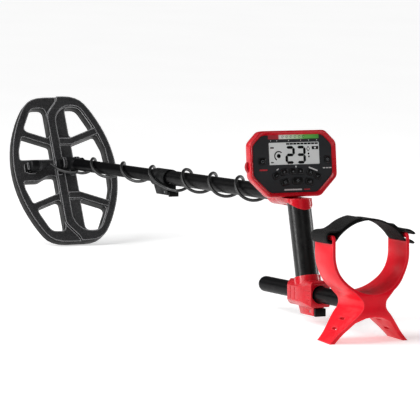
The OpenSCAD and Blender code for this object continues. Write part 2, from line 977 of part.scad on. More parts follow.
// Open line of four points whose two middle corners are rounded
function soft_edge(p) = concat([p[0]], bend(p[0], p[1], p[2]), bend(p[1], p[2], p[3]), [p[3]]);
function bend(a, p, b) = [for (k = [0:4])
    let (t = k / 4, u = p + unit(a - p) * 4.8, v = p + unit(b - p) * 4.8)
    (1 - t) * (1 - t) * u + 2 * t * (1 - t) * p + t * t * v];

// Side view of the armrest: narrow at the top and at the feet, wide at the hub
module arm_side() {
    polygon(soft([[-25.5, arm_top], [-26, 40], [-hub_half, 14], [-hub_half, -13], [-20, -40],
        [-20, -60], [20, -60], [20, -40], [hub_half, -13], [hub_half, 14], [26, 40],
        [25.5, arm_top]], 8));
}

module armrest() {
    color("#e02433")
        difference() {
            on_shaft(arm_back, -rear_drop)
                difference() {
                    intersection() {
                        rotate([90, 0, 90])
                            linear_extrude(100, center = true) arm_section();
                        rotate([90, 0, 0])
                            linear_extrude(160, center = true) arm_side();
                    }
                    translate([-30, 0, 0]) rotate([0, 90, 0]) cylinder(h = 80, r = tube_r);
                    // strap slot at the top of each arm
                    translate([0, 0, 85]) cube([47, 140, 5], center = true);
                    // two slots in each leg
                    for (side = [-1, 1], d = [22, 36])
                        translate([0, side * (12.5 + d * 0.71), 2 - d])
                            rotate([-side * 48, 0, 0])
                                cube([13, 4, 30], center = true);
                    translate([12, 0, -20]) cylinder(h = 12, r = 1.9);
                    translate([12, 0, -22]) cylinder(h = 9.5, r = 3.6);
                }
            // feet are cut level with the ground
            translate([-800, -200, -100]) cube([1000, 400, 100]);
        }
}

module armrest_screw() {
    color("#8e9093")
        on_shaft(arm_back - 12, -rear_drop) {
            translate([0, 0, -14.8]) cylinder(h = 2.3, r = 3.4);
            translate([0, 0, -12.6]) cylinder(h = 2.9, r = 1.8);
        }
}

strap_thick = 2.4;
strap_wide = 44;

// Band over the cuff: it loops round the bar at the top of each arm
module arm_strap() {
    color("#161616")
        on_shaft(arm_back, -rear_drop)
            rotate([90, 0, 90])
                linear_extrude(strap_wide, center = true)
                    strap_section();
}

module strap_section() {
    rise = 27;
    half = 50.5;
    strap_r = (half * half + rise * rise) / (2 * rise);
    // arch over the cuff
    intersection() {
        translate([0, 85 + rise - strap_r])
            difference() {
                circle(r = strap_r + strap_thick, $fn = 96);
                circle(r = strap_r, $fn = 96);
            }
        translate([-52, 83.4]) square([104, 60]);
    }
    for (side = [-1, 1]) {
        // inner leg through the slot
        translate([side * 55 - 5.5, 83.8]) square([11, strap_thick]);
        // outer tail
        translate([side * 59.2 - strap_thick / 2, 83.8]) square([strap_thick, 12]);
    }
    // free end on the right
    translate([-66, 91]) square([7, strap_thick]);
}

coil_housing();
coil_cover();
transmit_winding();
receive_winding();
cable_gland();
cable_boot();
hinge_bolt();
hinge_nut();
hinge_washers();
shaft_yoke();
lower_tube();
lower_tube_bush();
lock_body();
lock_collar();
lock_liner();
lock_lever();
lock_pin();
upper_tube();
neck();
pod_shell();
pod_bezel();
face_panel();
lcd_window();
lcd_module();
main_board();
key_mat();
key(0);  // key_power
key(1);  // key_detect
key(2);  // key_minus
key(3);  // key_plus
key(4);  // key_left
key(5);  // key_right
key(6);  // key_reject
key(7);  // key_accept
key(8);  // key_menu
key(9);  // key_light
key(10);  // key_frequency
speaker();
battery_tray();
battery_cells();
battery_door();
headphone_jack();
jack_cover();
pod_screws();
handle_core();
handle_grip();
rear_clamp();
clamp_liner();
clamp_lever();
clamp_pin();
rear_tube();
rear_tube_cap();
armrest();
armrest_screw();
arm_strap();
cable_plug();
cable_slack();
cable_lower();
cable_upper();
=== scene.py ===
import json
import math

import bmesh
import bpy
from mathutils import Matrix, Vector

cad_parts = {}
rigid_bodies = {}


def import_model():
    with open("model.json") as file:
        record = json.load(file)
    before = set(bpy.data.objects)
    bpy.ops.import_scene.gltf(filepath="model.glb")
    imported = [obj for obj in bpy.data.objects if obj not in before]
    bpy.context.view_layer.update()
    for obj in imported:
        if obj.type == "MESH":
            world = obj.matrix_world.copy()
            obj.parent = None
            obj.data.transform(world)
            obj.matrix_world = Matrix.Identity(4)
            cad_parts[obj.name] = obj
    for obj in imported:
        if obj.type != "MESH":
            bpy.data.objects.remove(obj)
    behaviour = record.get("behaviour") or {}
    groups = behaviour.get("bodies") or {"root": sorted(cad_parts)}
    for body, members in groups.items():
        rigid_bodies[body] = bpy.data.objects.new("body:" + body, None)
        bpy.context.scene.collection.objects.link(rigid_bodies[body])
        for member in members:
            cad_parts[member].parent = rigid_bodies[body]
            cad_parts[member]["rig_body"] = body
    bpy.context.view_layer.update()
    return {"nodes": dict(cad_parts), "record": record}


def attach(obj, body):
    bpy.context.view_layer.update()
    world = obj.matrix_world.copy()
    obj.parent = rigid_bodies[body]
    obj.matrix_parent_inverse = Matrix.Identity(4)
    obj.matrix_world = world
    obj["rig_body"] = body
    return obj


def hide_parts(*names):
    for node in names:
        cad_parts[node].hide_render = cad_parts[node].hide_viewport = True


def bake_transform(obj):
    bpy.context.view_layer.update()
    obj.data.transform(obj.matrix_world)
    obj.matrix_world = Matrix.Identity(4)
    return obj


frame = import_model()
nodes = frame["nodes"]
MM = 0.001

# ---- Places: the same frames as part.scad, in millimetres ---------------------------------

SLOPE, PITCH, FACE_LEAN = (math.radians(a) for a in (2.8, 62, 5.5))
HINGE = Vector((477.943, 0, 130.678))
FACE_BACK, FACE_UP = 808, 44            # middle of the control face, from the hinge
REAR_DROP, ARM_BACK = 131, 1008         # rear tube under the main one, armrest behind the hinge


def turn(angle, axis):
    return Matrix.Rotation(angle, 4, axis)


def move(x, y, z):
    return Matrix.Translation((x, y, z))


SHAFT = move(*HINGE) @ turn(SLOPE, "Y")
FACE = (SHAFT @ move(-FACE_BACK, 0, FACE_UP) @ turn(FACE_LEAN, "Y")
        @ turn(-math.pi / 2, "Z") @ turn(math.pi / 2, "X"))
COIL = move(*HINGE) @ turn(-PITCH, "Y")
REAR = SHAFT @ move(0, 0, -REAR_DROP)
ARM = REAR @ move(-ARM_BACK, 0, 0)


def at(place, p):
    """The point p of a place's own frame, in metres in the shared frame."""
    return (place @ Vector(p)) * MM


# ---- Camera -------------------------------------------------------------------------------

# It stands behind the object and to its left. Lengths are in millimetres, angles in degrees.
CAMERA_AZIMUTH, CAMERA_TILT, CAMERA_ROLL = 25.369, 6.896, 1.178
CAMERA_AIM = Vector((-22, 0, 150))
CAMERA_RIGHT, CAMERA_DOWN, CAMERA_DISTANCE = 14.89, 36.487, 4386.4
FOCAL_SHARE = 2966.755 / 420            # focal length as a share of the frame's width
SENSOR_WIDTH, CLIP_END = 36, 60         # millimetres, metres


def make_camera():
    az, el, roll = (math.radians(a) for a in (CAMERA_AZIMUTH, CAMERA_TILT, CAMERA_ROLL))
    fwd = Vector((math.cos(az) * math.cos(el), -math.sin(az) * math.cos(el), -math.sin(el)))
    right = Vector((-math.sin(az), -math.cos(az), 0))
    up = right.cross(fwd)
    r2 = right * math.cos(roll) + up * math.sin(roll)
    u2 = up * math.cos(roll) - right * math.sin(roll)
    spot = CAMERA_AIM + r2 * CAMERA_RIGHT - u2 * CAMERA_DOWN - fwd * CAMERA_DISTANCE
    cam = bpy.data.cameras.new("camera")
    cam.sensor_width = SENSOR_WIDTH
    cam.lens = FOCAL_SHARE * SENSOR_WIDTH
    cam.clip_end = CLIP_END
    obj = bpy.data.objects.new("camera", cam)
    bpy.context.scene.collection.objects.link(obj)
    turned = Matrix((r2, u2, -fwd)).transposed().to_4x4()
    obj.matrix_world = Matrix.Translation(spot * MM) @ turned
    bpy.context.scene.camera = obj


make_camera()

# ---- Materials ----------------------------------------------------------------------------

# noise scales of moulded surfaces, in waves per metre; the fourth breaks up the painted edge
# highlight
MOTTLE, SPECKS, SCUFFS, HIGHLIGHT_BREAKS, DUST = 28.0, 620.0, 260.0, 340.0, 90.0
BEVEL_SAMPLES = 4
RIB_WAVES, WARP_WAVES, LINT_SHARE = 3.6, 5.2, 0.8       # of the strap's weave


class Nodes:
    """A small builder for one material's node tree."""

    def __init__(self, name):
        self.mat = bpy.data.materials.new(name)
        self.mat.use_nodes = True
        self.tree = self.mat.node_tree
        self.bsdf = self.tree.nodes["Principled BSDF"]

    def new(self, kind, **sockets):
        n = self.tree.nodes.new(kind)
        for key, value in sockets.items():
            n.inputs[key.replace("_", " ")].default_value = value
        return n

    def link(self, a, b):
        self.tree.links.new(a, b)

    def coords(self):
        return self.new("ShaderNodeTexCoord").outputs["Object"]

    def noise(self, scale, detail=4.0, rough=0.55, stretch=None, where=None):
        vec = where or self.coords()
        if stretch:
            m = self.new("ShaderNodeMapping")
            m.inputs["Scale"].default_value = stretch
            self.link(vec, m.inputs["Vector"])
            vec = m.outputs["Vector"]
        n = self.new("ShaderNodeTexNoise", Scale=scale, Detail=detail, Roughness=rough)
        self.link(vec, n.inputs["Vector"])
        return n.outputs["Fac"]

    def ramp(self, fac, stops):
        n = self.new("ShaderNodeValToRGB")
        while len(n.color_ramp.elements) < len(stops):
            n.color_ramp.elements.new(0.5)
        for e, (pos, col) in zip(n.color_ramp.elements, stops):
            e.position = pos
            e.color = (*col, 1)
        self.link(fac, n.inputs["Fac"])
        return n.outputs["Color"]

    def span(self, fac, lo, hi, a=0.3, b=0.7):
        n = self.new("ShaderNodeMapRange")
        for key, value in zip(("From Min", "From Max", "To Min", "To Max"), (a, b, lo, hi)):
            n.inputs[key].default_value = value
        self.link(fac, n.inputs["Value"])
        return n.outputs["Result"]

    def math(self, op, a, b=0.0):
        n = self.new("ShaderNodeMath")
        n.operation = op
        for socket, value in zip(n.inputs, (a, b)):
            if isinstance(value, (int, float)):
                socket.default_value = value
            else:
                self.link(value, socket)
        return n.outputs["Value"]

    def mix(self, fac, a, b):
        n = self.new("ShaderNodeMix")
        n.data_type = "RGBA"
        for socket, value in zip((n.inputs[0], n.inputs[6], n.inputs[7]), (fac, a, b)):
            if isinstance(value, (int, float)):
                socket.default_value = value
            elif isinstance(value, tuple):
                socket.default_value = (*value, 1)
            else:
                self.link(value, socket)
        return n.outputs[2]

    def edges(self, radius, lo=0.02, hi=0.25):
        """Mask that is 1 along sharp edges, from how far the rounded normal turns."""
        bevel = self.new("ShaderNodeBevel", Radius=radius)
        bevel.samples = BEVEL_SAMPLES
        geo = self.new("ShaderNodeNewGeometry")
        dot = self.new("ShaderNodeVectorMath")
        dot.operation = "DOT_PRODUCT"
        self.link(bevel.outputs["Normal"], dot.inputs[0])
        self.link(geo.outputs["Normal"], dot.inputs[1])
        return self.span(self.math("SUBTRACT", 1.0, dot.outputs["Value"]), 0, 1, lo, hi)

    def bump(self, height, strength, distance, round_edges=0.0):
        n = self.new("ShaderNodeBump", Strength=strength, Distance=distance)
        self.link(height, n.inputs["Height"])
        if round_edges:
            bevel = self.new("ShaderNodeBevel", Radius=round_edges)
            bevel.samples = BEVEL_SAMPLES
            self.link(bevel.outputs["Normal"], n.inputs["Normal"])
        return n.outputs["Normal"]


def rgb(code):
    """Linear colour from a display hex code."""
    parts = [int(code[i:i + 2], 16) / 255 for i in (1, 3, 5)]
    return tuple(c / 12.92 if c <= 0.04045 else ((c + 0.055) / 1.055) ** 2.4 for c in parts)


def shade(c, k):
    return tuple(min(1.0, v * k) for v in c)


def moulded(name, colour, rough=0.4, grain=900.0, depth=0.00006, vary=0.12, wear=0.0,
            edge=0.0008, coat=0.0, spec=0.5, streak=None, speckle=0.0, rim=None, flat=None):
    """Moulded plastic or rubber: mottled colour, fine grain, softened and slightly worn edges.

    rim is the radius, colour and share of a painted highlight, a lighter line along the edges.
    Where flat is given, it is the way that the textured faces look, and the walls are darker:
    painted shade on the faces that turn away from it.
    """
    n = Nodes(name)
    base = rgb(colour)
    cloud = n.noise(MOTTLE, 5.0)
    col = n.ramp(cloud, [(0.3, shade(base, 1 - vary)), (0.7, shade(base, 1 + vary))])
    if speckle:
        spots = n.span(n.noise(SPECKS, 2.0), 0.0, speckle, 0.45, 0.72)
        col = n.mix(spots, col, shade(tuple(v + 0.012 for v in base), 2.4))
    if wear:
        scuffs = n.span(n.noise(SCUFFS, 6.0), 0.35, 1.0)
        mask = n.math("MULTIPLY", n.edges(edge * 1.3), scuffs)
        worn = shade(tuple(v + 0.03 for v in base), 1 + 2.6 * wear)
        col = n.mix(n.math("MULTIPLY", mask, min(1.0, wear)), col, worn)
    # painted highlight: a lighter line of the rim colour along sharp edges, broken up by noise
    if rim:
        radius, tone, share = rim
        broken = n.span(n.noise(HIGHLIGHT_BREAKS), 0.6, 1.0)
        mask = n.math("MULTIPLY", n.edges(radius, 0.012, 0.11), broken)
        col = n.mix(n.math("MULTIPLY", mask, share), col, rgb(tone))
    # painted shade: faces that turn away from flat fade to 0.12 of the base, like walls in shadow
    if flat:
        facing = n.new("ShaderNodeVectorMath")
        facing.operation = "DOT_PRODUCT"
        facing.inputs[1].default_value = flat
        n.link(n.new("ShaderNodeTexCoord").outputs["Normal"], facing.inputs[0])
        face = n.span(facing.outputs["Value"], 0.0, 1.0, 0.45, 0.8)
        col = n.mix(face, shade(base, 0.12), col)
    n.link(col, n.bsdf.inputs["Base Color"])
    dust = n.noise(DUST, 6.0, stretch=streak)
    n.link(n.span(dust, max(0.05, rough - 0.07), rough + 0.09), n.bsdf.inputs["Roughness"])
    fine = n.noise(grain, 3.0, stretch=streak)
    n.link(n.bump(fine, 0.55, depth, round_edges=edge), n.bsdf.inputs["Normal"])
    n.bsdf.inputs["Specular IOR Level"].default_value = spec
    n.bsdf.inputs["Coat Weight"].default_value = coat
    n.bsdf.inputs["Coat Roughness"].default_value = 0.12
    return n.mat


def metal(name, colour, rough=0.28):
    """Metal with a fine brushed grain across Y."""
    n = Nodes(name)
    base = rgb(colour)
    brushed = n.noise(420.0, 4.0, stretch=(1, 8, 1))
    n.link(n.ramp(brushed, [(0.3, shade(base, 0.8)), (0.7, shade(base, 1.1))]),
           n.bsdf.inputs["Base Color"])
    n.bsdf.inputs["Metallic"].default_value = 1.0
    n.link(n.span(brushed, rough - 0.06, rough + 0.12), n.bsdf.inputs["Roughness"])
    n.link(n.bump(brushed, 0.3, 0.00003, round_edges=0.0005), n.bsdf.inputs["Normal"])
    return n.mat


def cable_skin():
    """Satin cable jacket with a faint lengthways draw."""
    n = Nodes("cable_skin")
    base = rgb("#101112")
    uv = n.new("ShaderNodeTexCoord").outputs["UV"]
    draw = n.noise(1.0, 3.0, stretch=(60, 700, 1), where=uv)
    n.link(n.ramp(draw, [(0.3, shade(base, 0.75)), (0.7, shade(base, 1.3))]),
           n.bsdf.inputs["Base Color"])
    n.link(n.span(n.noise(160.0), 0.30, 0.46), n.bsdf.inputs["Roughness"])
    n.link(n.bump(draw, 0.35, 0.00005), n.bsdf.inputs["Normal"])
    return n.mat


def webbing(name, colour):
    """Woven webbing: a plain weave in the strip's own coordinates, in millimetres."""
    n = Nodes(name)
    base = rgb(colour)
    uv = n.new("ShaderNodeTexCoord").outputs["UV"]
    sep = n.new("ShaderNodeSeparateXYZ")
    n.link(uv, sep.inputs[0])
    rib = n.math("SINE", n.math("MULTIPLY", sep.outputs["X"], RIB_WAVES))
    warp = n.math("SINE", n.math("MULTIPLY", sep.outputs["Y"], WARP_WAVES))
    weave = n.math("MULTIPLY", rib, warp)
    lint = n.noise(620.0, 6.0)
    height = n.math("ADD", n.math("MULTIPLY", weave, 0.5),
                    n.math("MULTIPLY", lint, LINT_SHARE))
    n.link(n.ramp(height, [(0.0, shade(base, 0.55)), (0.6, shade(base, 1.25))]),
           n.bsdf.inputs["Base Color"])
    n.bsdf.inputs["Roughness"].default_value = 0.85
    n.bsdf.inputs["Specular IOR Level"].default_value = 0.15
    n.bsdf.inputs["Sheen Weight"].default_value = 0.06
    n.bsdf.inputs["Sheen Roughness"].default_value = 0.5
    n.link(n.bump(height, 0.8, 0.00035), n.bsdf.inputs["Normal"])
    return n.mat


def scale_print():
    """Printed bar that runs from red through white to green along the strip."""
    n = Nodes("print_scale")
    sep = n.new("ShaderNodeSeparateXYZ")
    n.link(n.new("ShaderNodeTexCoord").outputs["UV"], sep.inputs[0])
    stops = ((0.0, "#a01f2a"), (0.2, "#b8202e"), (0.23, "#e9ebe6"), (0.42, "#d8ecd2"),
             (0.62, "#b4dfa6"), (0.72, "#6cc356"), (1.0, "#4aa83c"))
    col = n.ramp(sep.outputs["X"], [(pos, rgb(code)) for pos, code in stops])
    ink = n.span(n.noise(500.0), 0.0, 0.12)
    n.link(n.mix(ink, col, (0.1, 0.12, 0.1)), n.bsdf.inputs["Base Color"])
    n.link(n.span(n.noise(200.0), 0.32, 0.48), n.bsdf.inputs["Roughness"])
    n.link(n.bump(n.noise(1500.0), 0.2, 0.00001), n.bsdf.inputs["Normal"])
    return n.mat


def glass_face():
    """The pale display with its gloss window over it."""
    n = Nodes("lcd_face")
    base = rgb("#e6ebea")
    cloud = n.noise(14.0, 3.0)
    n.link(n.ramp(cloud, [(0.3, shade(base, 0.93)), (0.7, shade(base, 1.04))]),
           n.bsdf.inputs["Base Color"])
    n.link(n.span(n.noise(60.0), 0.10, 0.22), n.bsdf.inputs["Roughness"])
    n.link(n.bump(n.noise(700.0), 0.1, 0.00002), n.bsdf.inputs["Normal"])
    n.bsdf.inputs["Coat Weight"].default_value = 0.6
    n.bsdf.inputs["Coat Roughness"].default_value = 0.05
    return n.mat


MATS = {
    # painted highlight along the coil's edges, and painted shade on its walls that turn away from
    # its top
    "coil_plastic": moulded("coil_plastic", "#262627", 0.42, grain=900, depth=0.00024, wear=0.5,
                            vary=0.35, edge=0.0011, spec=0.14, speckle=0.7,
                            rim=(0.0034, "#cfcfd1", 0.9),
                            flat=tuple(COIL.to_3x3() @ Vector((0, 0, 1)))),
    # lighter copy of the keys' dark rubber for their rounded edges: a painted highlight
    "key_edge": moulded("key_edge", "#1c1d1f", 0.36, grain=1300, spec=0.4),
    "cover_plastic": moulded("cover_plastic", "#0c0d0e", 0.5, grain=1200, wear=0.3, spec=0.1),
    "winding": metal("winding", "#b8734a", 0.4),
    "dark_trim": moulded("dark_trim", "#0d0e0f", 0.4, grain=1300, wear=0.5, spec=0.14),
    # painted highlight along the soft rubber's edges
    "soft_rubber": moulded("soft_rubber", "#1d1e20", 0.45, grain=800, spec=0.3,
                           rim=(0.0025, "#7d7e80", 0.6)),
    "lower_tube_skin": moulded("lower_tube_skin", "#040405", 0.34, grain=600, streak=(1, 6, 6),
                               spec=0.03),
    "tube_skin": moulded("tube_skin", "#050506", 0.34, grain=600, streak=(1, 6, 6), spec=0.05),
    "lock_plastic": moulded("lock_plastic", "#08090a", 0.42, grain=1200, wear=0.4, spec=0.12),
    "lever_plastic": moulded("lever_plastic", "#050606", 0.36, grain=1200, wear=0.5, spec=0.12),
    "steel": metal("steel", "#7d7f82"),
    # painted highlight along the gloss red's edges
    "red_gloss": moulded("red_gloss", "#c2081c", 0.26, grain=700, depth=0.00003, vary=0.1,
                         wear=0.12, coat=0.2, spec=0.25, rim=(0.002, "#ff5f66", 0.4)),
    "red_shell": moulded("red_shell", "#b80a18", 0.32, grain=900, depth=0.00003, vary=0.1,
                         wear=0.12, coat=0.1, spec=0.25),
    "red_rubber": moulded("red_rubber", "#a00c18", 0.5, grain=800, vary=0.08, spec=0.25),
    # painted highlight along the armrest's edges
    "red_armrest": moulded("red_armrest", "#e30c22", 0.36, grain=1100, depth=0.00004, vary=0.12,
                           wear=0.1, edge=0.001, coat=0.05, spec=0.15,
                           rim=(0.0026, "#ff6a74", 0.45)),
    "face_plastic": moulded("face_plastic", "#303234", 0.38, grain=1500, depth=0.00003, spec=0.12),
    "lcd_glass": glass_face(),
    "lcd_panel": moulded("lcd_panel", "#9aa39b", 0.4, grain=900),
    "board_green": moulded("board_green", "#1f5a33", 0.45, grain=500),
    "cell_case": metal("cell_case", "#8c8f92", 0.35),
    "grip_rubber": moulded("grip_rubber", "#040404", 0.3, grain=1000, depth=0.00006, spec=0.4),
    "key_rubber": moulded("key_rubber", "#030304", 0.36, grain=1300, wear=0.6, edge=0.0007,
                          spec=0.18),
    "strap_webbing": webbing("strap_webbing", "#050505"),
    "cable_jacket": cable_skin(),
    "print_white": moulded("print_white", "#d4d6d6", 0.4, grain=900, depth=0.00001, vary=0.05),
    "print_grey": moulded("print_grey", "#63686b", 0.45, grain=900, depth=0.00001, vary=0.06),
    "print_red": moulded("print_red", "#b3202c", 0.4, grain=900, depth=0.00001, vary=0.06),
    "print_black": moulded("print_black", "#030404", 0.4, grain=900, depth=0.00001, vary=0.1,
                           spec=0.08),
    "print_scale": scale_print(),
}


def dress_nodes():
    """Give each CAD node the material of its slot in the record."""
    slot_of = {}
    for row in frame["record"]["materials"]:
        for name in row.get("nodes", []):
            slot_of[name] = row["slot"]
    for name, obj in nodes.items():
        for slot in obj.material_slots:
            key = slot_of.get(name) or (slot.material.name if slot.material else "")
            slot.material = MATS.get(key.split(".")[0], MATS["dark_trim"])


dress_nodes()

# ---- Mesh helpers -------------------------------------------------------------------------


def new_mesh(name, bm):
    """A mesh of the bmesh's faces, all turned outward."""
    bmesh.ops.recalc_face_normals(bm, faces=bm.faces)
    mesh = bpy.data.meshes.new(name)
    bm.to_mesh(mesh)
    bm.free()
    return mesh


def add_object(name, mesh, body, material):
    """A piece that rides on a body, with the material in its one slot."""
    obj = bpy.data.objects.new(name, mesh)
    bpy.context.scene.collection.objects.link(obj)
    mesh.materials.append(material)
    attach(obj, body)
    return obj


def smooth(obj, angle):
    """Smooth shading, broken where faces meet at more than angle degrees."""
    for p in obj.data.polygons:
        p.use_smooth = True
    obj.data.set_sharp_from_angle(angle=math.radians(angle))


TUBE_SIDES, TUBE_STEP, TUBE_UV_ROUND = 16, 0.9, 0.014


def tube(name, route, radius):
    """A tube on the shaft along a smooth line through the route's points, with flat ends.

    Gives its mesh, the points of its line and its length, both in metres.
    """
    sides = TUBE_SIDES
    pts = spline(route, TUBE_STEP)
    bm = bmesh.new()
    uv = bm.loops.layers.uv.new("UVMap")
    rings = []
    run = [0.0]
    side = None
    for i, p in enumerate(pts):
        a, b = pts[max(i - 1, 0)], pts[min(i + 1, len(pts) - 1)]
        ahead = (b - a).normalized()
        if side is None:
            side = ahead.cross(Vector((0, 0, 1))).normalized()
        side = (side - ahead * side.dot(ahead)).normalized()
        top = ahead.cross(side)
        if i:
            run.append(run[-1] + (p - pts[i - 1]).length)
        spokes = [side * math.cos(t) + top * math.sin(t)
                  for t in (2 * math.pi * k / sides for k in range(sides))]
        rings.append([bm.verts.new(at(SHAFT, p + radius * spoke)) for spoke in spokes])
    for i in range(len(rings) - 1):
        for k in range(sides):
            m = (k + 1) % sides
            f = bm.faces.new((rings[i][k], rings[i + 1][k], rings[i + 1][m], rings[i][m]))
            f.smooth = True
            corners = ((i, k), (i + 1, k), (i + 1, k + 1), (i, k + 1))
            for loop, (row, column) in zip(f.loops, corners):
                loop[uv].uv = (run[row] * MM, column / sides * TUBE_UV_ROUND)
    for ring, flip in ((rings[0], False), (rings[-1], True)):
        bm.faces.new(ring if flip else ring[::-1])
    return new_mesh(name, bm), [at(SHAFT, p) for p in pts], run[-1] * MM


def spline(points, step):
    """Catmull-Rom line through the points, sampled about every step millimetres."""
    p = [Vector(q) for q in points]
    p = [p[0] * 2 - p[1]] + p + [p[-1] * 2 - p[-2]]
    out = [p[1].copy()]
    for i in range(1, len(p) - 2):
        n = max(2, round((p[i + 1] - p[i]).length / step))
        for k in range(1, n + 1):
            t = k / n
            a, b, c, d = p[i - 1], p[i], p[i + 1], p[i + 2]
            out.append(0.5 * (2 * b + (c - a) * t + (2 * a - 5 * b + 4 * c - d) * t * t
                              + (3 * b - a - 3 * c + d) * t ** 3))
    return out


def lookup(x, table):
    """The value at x on the straight lines through a table's points."""
    for (xa, ya), (xb, yb) in zip(table, table[1:]):
        if x <= xb:
            return ya + (yb - ya) * max(0.0, x - xa) / (xb - xa)
    return table[-1][1]


# ---- Cable --------------------------------------------------------------------------------

CABLE_D = 4.6
# distance behind the hinge with the turns wound so far, then with the winding's radius
TURNS = [(38, 0.38), (96, 1), (217, 2), (330, 3), (352, 3.2), (380, 3.33), (404, 3.4),
         (422, 3.5), (451, 4), (545, 5), (635, 6), (725, 7)]
RADII = [(322, 13), (334, 14), (352, 16.3), (404, 18), (422, 18), (450, 15.6)]
SLACK_END, LOWER_END, UPPER_END, END_GAP = 44, 348, 700, 0.8


def on_turn(back):
    """The cable's point at a distance behind the hinge."""
    angle = 2 * math.pi * lookup(back, TURNS)
    r = lookup(back, RADII)
    return (-back, r * math.sin(angle), r * math.cos(angle))


def wound(a, b, steps):
    """The wound cable's points between two distances behind the hinge."""
    return [on_turn(a + (b - a) * i / steps) for i in range(steps + 1)]


def make_cable():
    """The three runs of cable; the upper run rides on the main body, the other two stay where they
    are made.
    """
    slack = [(11.9, 32.4, -0.5), (11.6, 30.2, -0.5), (8, 28, -2.6), (0, 25.4, -5.6),
             (-6, 23.8, -8), (-13, 19.6, -10.2), (-24, 14, -12.2), (-34, 9.2, -12.8),
             on_turn(SLACK_END - END_GAP)]
    lower = wound(SLACK_END, LOWER_END - END_GAP, 72)
    upper = wound(LOWER_END, UPPER_END, 96)
    upper += [(-708, -17, 6), (-718, -21, 12), (-728, -26, 17), (-737, -29.6, 20.6),
              (-743.4, -30, 21)]
    made = []
    for name, route in (("cable_slack", slack), ("cable_lower", lower), ("cable_upper", upper)):
        mesh, path, length = tube(name + "_skin", route, CABLE_D / 2)
        obj = bpy.data.objects.new(name + "_skin", mesh)
        bpy.context.scene.collection.objects.link(obj)
        mesh.materials.append(MATS["cable_jacket"])
        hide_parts(name)
        made.append(obj)
    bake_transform(made[0])
    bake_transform(made[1])
    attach(made[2], "main")


make_cable()

# ---- Moulded parts with rounded edges -----------------------------------------------------


WELD = 2e-6                             # metres between vertices that are one
FLAT_ANGLE, SHARP_ANGLE, SHADE_ANGLE = 0.6, 32, 48      # degrees
EDGE_SEGMENTS = 2


def soften(node, width, rim=None):
    """The node's own shape with every sharp edge rounded off, in place of the node.

    The rounding is width millimetres wide; where a rim material is given, the rounding takes it as
    a painted highlight.
    """
    source = nodes[node]
    bm = bmesh.new()
    bm.from_mesh(source.data)
    bmesh.ops.remove_doubles(bm, verts=bm.verts, dist=WELD)
    bmesh.ops.dissolve_limit(bm, angle_limit=math.radians(FLAT_ANGLE), verts=bm.verts,
                             edges=bm.edges, delimit={"NORMAL"})
    sharp = [e for e in bm.edges
             if len(e.link_faces) == 2 and e.calc_face_angle(0) > math.radians(SHARP_ANGLE)]
    bmesh.ops.bevel(bm, geom=sharp, offset=width * MM, offset_type="OFFSET",
                    segments=EDGE_SEGMENTS, profile=0.5, affect="EDGES", clamp_overlap=True,
                    material=1 if rim else -1)
    bmesh.ops.triangulate(bm, faces=[f for f in bm.faces if len(f.verts) > 4])
    mesh = new_mesh(node + "_moulding", bm)
    material = source.material_slots[0].material
    obj = add_object(node + "_moulding", mesh, source["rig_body"], material)
    if rim:
        mesh.materials.append(MATS[rim])
    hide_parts(node)
    smooth(obj, SHADE_ANGLE)


for part, width in (("armrest", 0.8), ("coil_housing", 1.0), ("rear_clamp", 0.9),
                    ("lock_body", 0.8), ("lock_collar", 0.6), ("cable_gland", 0.6),
                    ("cable_boot", 0.5), ("shaft_yoke", 0.6), ("clamp_lever", 0.6),
                    ("lock_lever", 0.6), ("pod_shell", 1.2), ("jack_cover", 0.8),
                    ("coil_cover", 0.8)):
    soften(part, width)
# the keys' rounded edges take the lighter key_edge material, a painted highlight
for part in sorted(nodes):
    if part.startswith("key_") and part != "key_mat":
        soften(part, 0.35, "key_edge")

# ---- Control face -------------------------------------------------------------------------


CORNER_REACH, CORNER_STEPS = 5.0, 6
PRINT_RISE = 0.05                       # of printed marks over their face
FACE_TOP, LCD_TOP, KEY_TOP = -4.0, -4.4, -2.5


def soft_outline(points):
    """Closed outline with its corners rounded, as in part.scad."""
    out = []
    for i, p in enumerate(points):
        p = Vector(p)
        before = Vector(points[i - 1]) - p
        after = Vector(points[(i + 1) % len(points)]) - p
        a = p + before.normalized() * min(CORNER_REACH, before.length * 0.48)
        b = p + after.normalized() * min(CORNER_REACH, after.length * 0.48)
        for k in range(CORNER_STEPS + 1):
            t = k / CORNER_STEPS
            out.append((1 - t) ** 2 * a + 2 * t * (1 - t) * p + t * t * b)
    return out


def pod_outline(inset):
    """The pod's eight-cornered outline, that far inside its outer edge."""
    side = [(40 - inset * 0.6, -46 + inset), (67 - inset, -19 + inset * 0.5),
            (67 - inset, 29 - inset * 0.5), (50 - inset * 0.6, 46 - inset)]
    return soft_outline(side + [(-x, y) for x, y in side[::-1]])


def loft(name, loops, place, body, material):
    """A skin over closed loops of 3-D points with equal counts, joined into a ring."""
    bm = bmesh.new()
    rows = [[bm.verts.new(at(place, p)) for p in loop] for loop in loops]
    for a, b in zip(rows, rows[1:] + rows[:1]):
        for k in range(len(a)):
            m = (k + 1) % len(a)
            bm.faces.new((a[k], a[m], b[m], b[k]))
    return add_object(name, new_mesh(name, bm), body, material)


def make_bezel():
    """The red ring round the face, from its section of inset and height."""
    profile = [(6.05, -5.9), (6.05, -4.3), (5.7, -3.7), (2.9, -0.6), (2.3, -0.15), (1.7, 0.0),
               (1.1, -0.15), (0.5, -0.7), (0.12, -1.5), (0, -2.6), (0, -8), (0, -13.2),
               (0.3, -13.8), (1.0, -14.0), (8.4, -14.0), (8.4, -6.1), (6.1, -6.0)]
    loops = [[(p.x, p.y, w) for p in pod_outline(inset)] for inset, w in profile]
    obj = loft("bezel_ring", loops, FACE, "main", MATS["red_gloss"])
    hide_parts("pod_bezel")
    smooth(obj, 50)


make_bezel()


